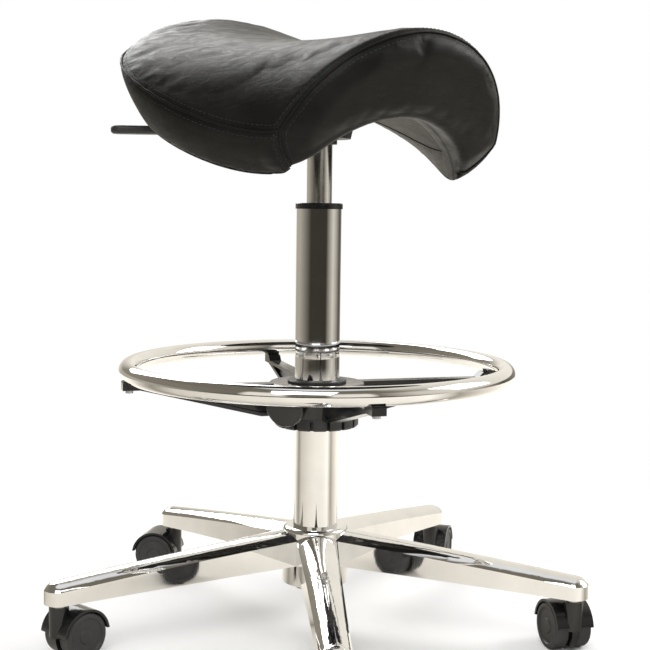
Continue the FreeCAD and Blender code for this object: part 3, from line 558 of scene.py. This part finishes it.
bpy.context.scene.frame_set(1)
smoothed(cushion, 2)
finer = cushion.modifiers.new("finer", "SUBSURF")
finer.levels = 1
finer.render_levels = 1
applyModifier(cushion, finer)
print("cushion swollen,", len(cushion.data.polygons), "faces")

# Where the skin fell short of the cover's cut, as at the rims and corners, it is drawn out to it
coverTree = meshTree(frame["nodes"]["seat_cover"])
facing = [v.normal.copy() for v in cushion.data.vertices]
for vertex, out in zip(cushion.data.vertices, facing):
    over = vertex.co + out * cushionMake["drawOut"]
    place, normal, index, away = coverTree.ray_cast(over, -out, cushionMake["drawOut"])
    if place and normal.dot(out) > cushionMake["drawFacing"]:
        vertex.co = vertex.co.lerp(place, cushionMake["drawShare"])
smoothed(cushion, 1)

# The front and rear panels are padded out from their seams, and roll under at the bottom
for share, bulge in ((0.0, cushionMake["frontBulge"]), (1.0, -cushionMake["rearBulge"])):
    lean = leanAt(share)
    ahead = Vector((0.0, -math.cos(lean), -math.sin(lean))) * math.copysign(1.0, bulge)
    rim = even(rimLine(share), cushionMake["seamPitch"])
    rimPoints = pointTree(rim)
    for vertex in cushion.data.vertices:
        behind = (rim[0] - vertex.co).dot(ahead)
        if behind < cushionMake["bulgeDepth"]:
            near = eased(1 - max(0.0, behind) / cushionMake["bulgeDepth"])
            full = eased(rimPoints.find(vertex.co)[2] / cushionMake["bulgeRise"])
            vertex.co += ahead * abs(bulge) * near * full

# The cushion stays behind the cover's underside and rolls over it at the front and the rear
cushionLength = saddle["rear"] - saddle["front"]
facing = [v.normal.copy() for v in cushion.data.vertices]
for vertex, out in zip(cushion.data.vertices, facing):
    place, normal, index, away = undersideTree.find_nearest(vertex.co)
    if normal.z > 0:
        normal = -normal
    if away > cushionMake["hemReach"] or out.dot(normal) < cushionMake["hemFacing"]:
        continue
    share = (place.y - saddle["front"]) / cushionLength
    fromHem = (hemMake["ends"] - min(share, 1 - share)) * cushionLength / cushionMake["rollWidth"]
    most = cushionMake["rollRise"] * eased(fromHem + cushionMake["rollStart"]) - cushionMake["underHem"]
    proud = (vertex.co - place).dot(normal)
    if proud > most:
        vertex.co -= normal * (proud - most)

# Its lower edges are drawn out to the sewn line between flank and underside
for side in (1, -1):
    edge = lowerEdge(side)
    edgePoints = pointTree(edge)
    for vertex, out in zip(cushion.data.vertices, facing):
        spot, number, away = edgePoints.find(vertex.co)
        if away > cushionMake["edgeReach"]:
            continue
        flankPlace, flankNormal = flankTrees[side].find_nearest(vertex.co)[:2]
        underPlace, underNormal = undersideTree.find_nearest(vertex.co)[:2]
        flankNormal = flankNormal if flankNormal.x * side > 0 else -flankNormal
        underNormal = underNormal if underNormal.z < 0 else -underNormal
        target = flankPlace if out.dot(flankNormal) > out.dot(underNormal) else underPlace
        share = (cushionMake["edgeReach"] - away) / (cushionMake["edgeReach"] - cushionMake["edgeFull"])
        ends = (1 + min(number, len(edge) - 1 - number)) / cushionMake["edgeFade"]
        vertex.co = vertex.co.lerp(target, min(1.0, share) * min(1.0, ends))

# Sewn lines are laid on the swollen skin, and the skin is drawn in along them
skin = meshTree(cushion)
skinPoints = pointTree([vertex.co for vertex in cushion.data.vertices])


def laidOnSkin(point):
    # straight down on to the skin, from over the edge that the seam follows
    over = Vector()
    for place, index, away in skinPoints.find_range(skin.find_nearest(point)[0], cushionMake["seamReach"]):
        over += cushion.data.vertices[index].normal
    over.normalize()
    return skin.ray_cast(point + over * 2 * cushionMake["seamReach"], -over)[0] or skin.find_nearest(point)[0]


sewn = [[laidOnSkin(point) for point in even(line, cushionMake["seamPitch"])] for line in seamLines]
nearSeam = pointTree([point for line in sewn for point in line])
normals = [v.normal.copy() for v in cushion.data.vertices]
for vertex, normal in zip(cushion.data.vertices, normals):
    away = nearSeam.find(vertex.co)[2]
    vertex.co -= normal * cushionMake["seamDepth"] * math.exp(-((away / cushionMake["seamWidth"]) ** 2))
pick(cushion)
bpy.ops.object.shade_smooth()
finished(cushion, "seat", leather)
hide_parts("seat_cover", "seat_foam")

# Welts on the sewn lines, and piping along the flaps' lower edges
skin = meshTree(cushion)


def roundCord(spots, name, radius):
    curve = bpy.data.curves.new(name, "CURVE")
    curve.dimensions = "3D"
    curve.bevel_depth = radius
    curve.bevel_resolution = 3
    curve.use_fill_caps = True
    spline = curve.splines.new("NURBS")
    spline.points.add(len(spots) - 1)
    for knot, spot in zip(spline.points, spots):
        knot.co = (*spot, 1.0)
    spline.order_u = 4
    spline.use_endpoint_u = True
    piece = bpy.data.objects.new(name, curve)
    bpy.context.collection.objects.link(piece)
    pick(piece)
    bpy.ops.object.convert(target="MESH")
    bpy.ops.object.shade_smooth()
    return piece


weltNames = ("weltLeft", "weltRight", "weltFront", "weltRear")
for line, name in zip(sewn, weltNames):
    spots = []
    for point in even(line, cushionMake["weltPitch"]):
        place, normal, index, away = skin.find_nearest(point)
        spots.append(place + normal * (cushionMake["weltRadius"] - cushionMake["weltSink"]))
    finished(roundCord(spots, name, cushionMake["weltRadius"]), "seat", leather)
for side, name in ((1, "edgePipingLeft"), (-1, "edgePipingRight")):
    spots = []
    inward = Vector((-side, 0.0, cushionMake["pipingRise"])).normalized()
    for point in even(lowerEdge(side), cushionMake["pipingPitch"]):
        spots.append(skin.find_nearest(point)[0] + inward * cushionMake["pipingSink"])
    spots[0] += inward * cushionMake["pipingTuck"]  # the ends go into the cushion
    spots[-1] += inward * cushionMake["pipingTuck"]
    finished(roundCord(spots, name, cushionMake["pipingRadius"]), "seat", leather)


# Top stitching beside the welts: one stitch is modelled and copied along the lines
def oneStitch():
    bpy.ops.object.select_all(action="DESELECT")
    bpy.ops.mesh.primitive_uv_sphere_add(segments=8, ring_count=6, radius=cushionMake["stitchRadius"])
    stitch = bpy.context.active_object
    stitch.scale = (cushionMake["stitchLength"] / (2 * cushionMake["stitchRadius"]), 1.0, cushionMake["stitchFlat"])
    bpy.ops.object.transform_apply(location=False, rotation=False, scale=True)
    return stitch


stitch = oneStitch()
stitchHeight = cushionMake["stitchRadius"] * cushionMake["stitchProud"]
copies = []
for line in sewn:
    spots = even(line, cushionMake["stitchPitch"])
    for before, spot, after in zip(spots, spots[1:], spots[2:]):
        place, normal, index, away = skin.find_nearest(spot)
        along = (after - before).normalized()
        across = normal.cross(along).normalized()
        for side in (-1, 1):
            hold, up, index, away = skin.find_nearest(place + across * side * cushionMake["stitchOff"])
            run = (along - up * along.dot(up)).normalized()
            turn = Matrix((run, up.cross(run), up)).transposed().to_4x4()
            piece = bpy.data.objects.new("stitch", stitch.data.copy())
            bpy.context.collection.objects.link(piece)
            piece.matrix_world = Matrix.Translation(hold + up * stitchHeight) @ turn
            copies.append(piece)
bpy.ops.object.select_all(action="DESELECT")
for piece in copies:
    piece.select_set(True)
bpy.context.view_layer.objects.active = copies[0]
bpy.ops.object.join()
stitching = bpy.context.active_object
stitching.name = "seatStitching"
bpy.ops.object.transform_apply(location=True, rotation=True, scale=True)
bpy.ops.object.shade_smooth()
bpy.data.objects.remove(stitch)
finished(stitching, "seat", thread)
print("welts and", len(copies), "stitches sewn")

# The leather under the pan gets its thickness
wall = hem.modifiers.new("wall", "SOLIDIFY")
wall.thickness = hemMake["wall"]
wall.offset = -1.0
applyModifier(hem, wall)
pick(hem)
bpy.ops.object.shade_smooth_by_angle(angle=math.radians(hemMake["smoothAngle"]))
finished(hem, "seat", leather)


# Studio: pale floor, soft lamps, white surround
studio = {
    "floor": 2.6, "floorFull": 1.90, "floorEnd": 2.30, "floorTone": (0.90, 0.895, 0.885), "surround": 0.60,
    "seenCentre": (-0.48, -0.575, 0.0), "seenFull": 1.15, "seenEnd": 1.60, "cameraSide": 40.0,
    "warmth": (1.0, 0.945, 0.84), "browning": 1.2,
    # Painted reflections, seen by glossy rays only, as tones by heading in degrees from the camera:
    # the white background at the back, a dark wall behind the camera, a pale one at its right, two windows, and the
    # floor as reflections show it
    "paintedRoomReflection": [(-180, 1.0), (-150, 0.5), (-110, 0.5), (-40, 0.05), (40, 0.05), (80, 0.8), (130, 0.1), (160, 0.3),
             (180, 1.0)],
    "windows": [(-180, 1.0), (-150, 0.3), (-45, 0.2), (-40, 1.0), (-20, 1.0), (-15, 0.2), (5, 0.2),
                (10, 1.0), (30, 1.0), (35, 0.2), (60, 0.8), (150, 1.0), (180, 1.0)],
    "loft": [(-180, 1.0), (-150, 0.2), (50, 0.2), (100, 0.8), (180, 1.0)],
    "paintedFloorReflection": [(-180, 1.0), (-130, 0.9), (-100, 0.3), (-80, 0.7), (0, 0.9), (60, 1.0), (80, 0.3), (100, 0.6),
              (130, 0.9), (180, 1.0)],
    "windowsFrom": (0.05, 0.09), "loftFrom": (0.50, 0.66),  # heights as the sine of the elevation
    "skylightFrom": (0.94, 0.98), "skylight": (0.9, 0.9, 0.9, 1.0),
    "lampAim": (0.0, 0.0, 0.4),
    "key": (-1.7, -1.5, 2.3), "keyPower": 34.0, "keySize": 1.6,
    "fill": (2.0, -1.2, 1.7), "fillPower": 40.0, "fillSize": 1.5,
    "rear": (0.5, 2.3, 1.9), "rearPower": 44.0, "rearSize": 1.7,
}


# Tones by heading for painted reflections, as the world and the floor show them to glossy rays
def toneByHeading(tree, vector, stops):
    turn = (0.0, 0.0, math.radians(studio["cameraSide"]))
    facing = addNode(tree, "ShaderNodeMapping", {"Vector": vector, "Rotation": turn})
    parts = addNode(tree, "ShaderNodeSeparateXYZ", {0: facing.outputs["Vector"]})
    toCamera = addNode(tree, "ShaderNodeMath", {0: parts.outputs["Y"], 1: -1.0}, operation="MULTIPLY")
    angle = addNode(tree, "ShaderNodeMath", {0: parts.outputs["X"], 1: toCamera.outputs[0]}, operation="ARCTAN2")
    ramp = addNode(tree, "ShaderNodeValToRGB", {"Fac": ranged(tree, angle.outputs[0], 0.0, 1.0, -math.pi, math.pi)})
    for number, (heading, tone) in enumerate(stops):
        spot = (heading + 180.0) / 360.0
        stop = ramp.color_ramp.elements[number] if number < 2 else ramp.color_ramp.elements.new(spot)
        stop.position = spot
    for stop, (heading, tone) in zip(sorted(ramp.color_ramp.elements, key=lambda s: s.position), stops):
        shade = 1 + studio["browning"] * (1 - tone)  # what is darker is browner
        stop.color = (*[tone * warm**shade for warm in studio["warmth"]], 1.0)
    return ramp.outputs["Color"], parts.outputs["Z"]


def floorSurface():
    material, tree, shader, place = newMaterial("paleFloor")
    mottle = noiseAt(tree, place, 3.0, 2.0)
    tone = studio["floorTone"]
    plain = tinted(tree, mottle, tuple(v * 0.985 for v in tone), tone)
    # In glossy rays the floor takes tones by heading, darker in patches: a painted reflection, so that polished metal
    # shows dark bands
    paintedReflectionTone = toneByHeading(tree, place, studio["paintedFloorReflection"])[0]
    path = addNode(tree, "ShaderNodeLightPath")
    mixed = addNode(tree, "ShaderNodeMix", {"Factor": path.outputs["Is Glossy Ray"], "A": plain, "B": paintedReflectionTone},
                    data_type="RGBA")
    tree.links.new(mixed.outputs["Result"], shader.inputs["Base Color"])
    shader.inputs["Roughness"].default_value = 0.85
    away = addNode(tree, "ShaderNodeVectorMath", {0: place}, operation="LENGTH").outputs["Value"]
    seenAway = addNode(tree, "ShaderNodeVectorMath", {0: place, 1: studio["seenCentre"]},
                       operation="DISTANCE").outputs["Value"]
    edge = ranged(tree, away, 0.0, 1.0, studio["floorFull"], studio["floorEnd"])
    seenEdge = ranged(tree, seenAway, 0.0, 1.0, studio["seenFull"], studio["seenEnd"])
    fade = addNode(tree, "ShaderNodeMix", {"Factor": path.outputs["Is Camera Ray"], "A": edge, "B": seenEdge})
    clear = addNode(tree, "ShaderNodeBsdfTransparent").outputs["BSDF"]
    faded = addNode(tree, "ShaderNodeMixShader", {0: fade.outputs["Result"], 1: shader.outputs["BSDF"], 2: clear})
    tree.links.new(faded.outputs["Shader"], tree.nodes["Material Output"].inputs["Surface"])
    return material


bpy.ops.object.select_all(action="DESELECT")
bpy.ops.mesh.primitive_plane_add(size=studio["floor"] * 2)
floor = bpy.context.active_object
floor.name = "studioFloor"
floor.data.materials.append(floorSurface())


def softLamp(name, place, power, size):
    lamp = bpy.data.lights.new(name, "AREA")
    lamp.shape = "SQUARE"
    lamp.size = size
    lamp.energy = power
    piece = bpy.data.objects.new(name, lamp)
    bpy.context.collection.objects.link(piece)
    piece.location = place
    piece.rotation_euler = (Vector(studio["lampAim"]) - Vector(place)).to_track_quat("-Z", "Y").to_euler()


for name in ("key", "fill", "rear"):
    softLamp(name + "Lamp", studio[name], studio[name + "Power"], studio[name + "Size"])

world = bpy.data.worlds.new("whiteSurround")
world.use_nodes = True
bpy.context.scene.world = world
surround = world.node_tree
path = surround.nodes.new("ShaderNodeLightPath")
seen = addNode(surround, "ShaderNodeMath", {0: path.outputs["Is Camera Ray"], 1: path.outputs["Is Glossy Ray"]},
               operation="MAXIMUM")
seenToo = addNode(surround, "ShaderNodeMath", {0: seen.outputs[0], 1: path.outputs["Is Transmission Ray"]},
                  operation="MAXIMUM")
level = addNode(surround, "ShaderNodeMapRange",
                {"Value": seenToo.outputs[0], "To Min": studio["surround"], "To Max": 1.0})

# Painted reflection for glossy rays only, which polished metal mirrors: walls, then bright windows, then a dim loft
# with a pale skylight
heading = surround.nodes.new("ShaderNodeTexCoord").outputs["Generated"]
lit, height = toneByHeading(surround, heading, studio["paintedRoomReflection"])
layers = [(toneByHeading(surround, heading, studio[name])[0], studio[name + "From"]) for name in ("windows", "loft")]
layers.append((studio["skylight"], studio["skylightFrom"]))
for above, (start, end) in layers:
    share = ranged(surround, height, 0.0, 1.0, start, end)
    mixed = addNode(surround, "ShaderNodeMix", {"Factor": share, "A": lit, "B": above}, data_type="RGBA")
    lit = mixed.outputs["Result"]
plainWhite = (1.0, 1.0, 1.0, 1.0)
white = addNode(surround, "ShaderNodeMix", {"Factor": path.outputs["Is Glossy Ray"], "A": plainWhite, "B": lit},
                data_type="RGBA")
backdrop = surround.nodes["Background"]
surround.links.new(level.outputs["Result"], backdrop.inputs["Strength"])
surround.links.new(white.outputs["Result"], backdrop.inputs["Color"])

# Camera at the photograph's place, with the same small roll
view = {"azimuth": -40.0, "elevation": 7.45, "distance": 1.407, "target": (0.0, 0.0, 0.300),
        "focal": 1253.0, "frame": 650.0, "targetAt": (317.7, 368.3), "roll": 0.7, "sensor": 36.0}


def photoCamera():
    azimuth, elevation = math.radians(view["azimuth"]), math.radians(view["elevation"])
    back = Vector((math.sin(azimuth) * math.cos(elevation), -math.cos(azimuth) * math.cos(elevation),
                   math.sin(elevation)))
    right = (-back).cross(Vector((0, 0, 1))).normalized()
    up = right.cross(-back)
    pitch = math.atan((view["targetAt"][1] - view["frame"] / 2) / view["focal"])
    yaw = -math.atan((view["targetAt"][0] - view["frame"] / 2) / view["focal"])
    ahead = -back * math.cos(pitch) + up * math.sin(pitch)
    up = up * math.cos(pitch) + back * math.sin(pitch)
    look = ahead * math.cos(yaw) + right * math.sin(yaw)
    right = right * math.cos(yaw) - ahead * math.sin(yaw)
    roll = math.radians(view["roll"])
    right, up = right * math.cos(roll) + up * math.sin(roll), up * math.cos(roll) - right * math.sin(roll)
    lens = bpy.data.cameras.new("photoCamera")
    lens.sensor_width = view["sensor"]
    lens.lens = view["focal"] * view["sensor"] / view["frame"]
    lens.clip_start = 0.01
    piece = bpy.data.objects.new("photoCamera", lens)
    bpy.context.collection.objects.link(piece)
    turn = Matrix((right, up, -look)).transposed().to_4x4()
    piece.matrix_world = Matrix.Translation(Vector(view["target"]) + back * view["distance"]) @ turn
    bpy.context.scene.camera = piece


photoCamera()
bpy.context.scene.view_settings.view_transform = "Standard"
print("studio and camera set")
